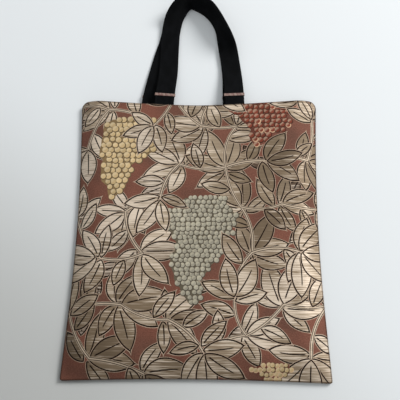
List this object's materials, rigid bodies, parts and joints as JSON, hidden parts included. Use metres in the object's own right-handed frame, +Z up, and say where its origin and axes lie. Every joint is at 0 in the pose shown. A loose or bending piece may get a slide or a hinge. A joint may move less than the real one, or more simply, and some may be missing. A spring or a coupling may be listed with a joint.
{
  "type": "flat handbag",
  "caption": "Flat padded cloth bag with an open top and a pair of black strap handles, lying on its back face.",
  "frame": {"origin": "middle of the whole part's outline on the surface that it lies on", "axes": "+X across the bag to its right side seen from the front, +Y from the bottom edge towards the handles, +Z up, out of the front face"},
  "size_m": [0.3, 0.4922, 0.024],
  "materials": {
    "brocade": "woven brocade, reddish brown ground with gold-beige leaves",
    "interlining": "soft felt",
    "lining": "plain lining cloth",
    "strap": "black strap cloth, matt",
    "band": "woven pinkish brown band"
  },
  "bodies": {
    "bag": {"outer_back_panel": "brocade", "outer_front_panel": "brocade", "back_rim_hem": "brocade", "front_rim_hem": "brocade", "left_side_seam": "brocade", "right_side_seam": "brocade", "bottom_seam": "brocade", "back_interlining": "interlining", "front_interlining": "interlining", "back_lining": "lining", "front_lining": "lining", "front_handle_left_end": "strap", "front_handle_right_end": "strap", "back_handle_left_end": "strap", "back_handle_right_end": "strap"},
    "front_handle": {"front_handle_strap": "strap", "front_handle_left_band": "band", "front_handle_right_band": "band"},
    "back_handle": {"back_handle_strap": "strap", "back_handle_left_band": "band", "back_handle_right_band": "band"}
  },
  "joints": [
    {"name": "front_handle_swing", "type": "hinge", "parent": "bag", "child": "front_handle", "pos_m": [0, 0.08623, 0.0125], "axis": [1, 0, 0], "range_deg": [0, 172]},
    {"name": "back_handle_swing", "type": "hinge", "parent": "bag", "child": "back_handle", "pos_m": [0, 0.08623, 0.0009], "axis": [-1, 0, 0], "range_deg": [0, 172]}
  ]
}
